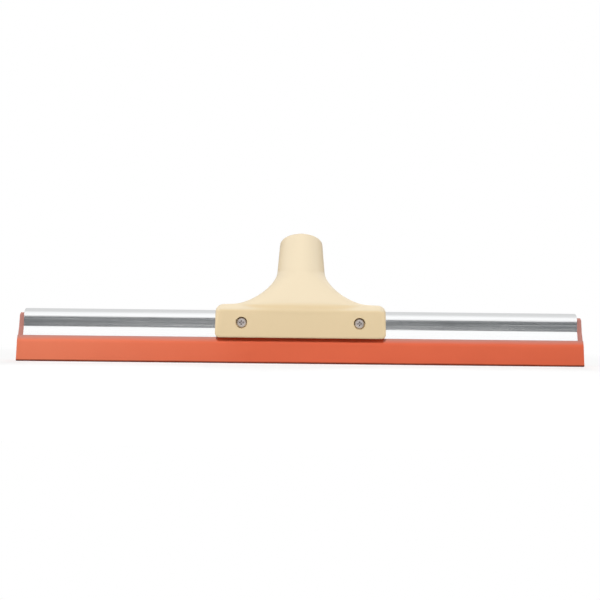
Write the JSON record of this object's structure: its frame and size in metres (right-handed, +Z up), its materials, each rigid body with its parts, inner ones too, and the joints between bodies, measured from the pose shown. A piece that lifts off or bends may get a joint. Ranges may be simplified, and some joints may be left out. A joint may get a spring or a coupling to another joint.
{
  "type": "floor squeegee head",
  "caption": "Wide rubber blade pinched in a folded steel channel, with a moulded saddle clamped over it and a leaning round socket that takes a broom handle, for pulling water off floors",
  "frame": {"origin": "middle of the blade's flat working edge, which rests on the floor", "axes": "+X along the blade, to the right seen from the front; +Y to the side the handle leans to; +Z up"},
  "size_m": [0.45, 0.0685, 0.1073],
  "materials": {
    "cream_plastic": "moulded, satin",
    "bright_sheet": "bright plated sheet",
    "orange_rubber": "matte, soft",
    "plated_fastener": "zinc plated"
  },
  "bodies": {
    "squeegee_head": {"handle_socket": "cream_plastic", "frame_channel": "bright_sheet", "rubber_blade": "orange_rubber", "washer_left": "plated_fastener", "washer_right": "plated_fastener"},
    "left_screw": {"clamp_screw_left": "plated_fastener"},
    "right_screw": {"clamp_screw_right": "plated_fastener"},
    "left_nut": {"nut_left": "plated_fastener"},
    "right_nut": {"nut_right": "plated_fastener"}
  },
  "joints": [
    {"name": "left_screw_turn", "type": "hinge", "parent": "squeegee_head", "child": "left_screw", "pos_m": [-0.0465, 0, 0.0322], "axis": [0, -1, 0], "range_deg": [0, 1440]},
    {"name": "right_screw_turn", "type": "hinge", "parent": "squeegee_head", "child": "right_screw", "pos_m": [0.0465, 0, 0.0322], "axis": [0, -1, 0], "range_deg": [0, 1440]},
    {"name": "left_nut_travel", "type": "slide", "parent": "squeegee_head", "child": "left_nut", "axis": [0, 1, 0], "range_m": [0, 0.0028]},
    {"name": "right_nut_travel", "type": "slide", "parent": "squeegee_head", "child": "right_nut", "axis": [0, 1, 0], "range_m": [0, 0.0028]}
  ],
  "couplings": [
    {"joint": "left_screw_turn", "follows": "left_nut_travel", "rad_per_m": 8975.9},
    {"joint": "right_screw_turn", "follows": "right_nut_travel", "rad_per_m": 8975.9}
  ]
}
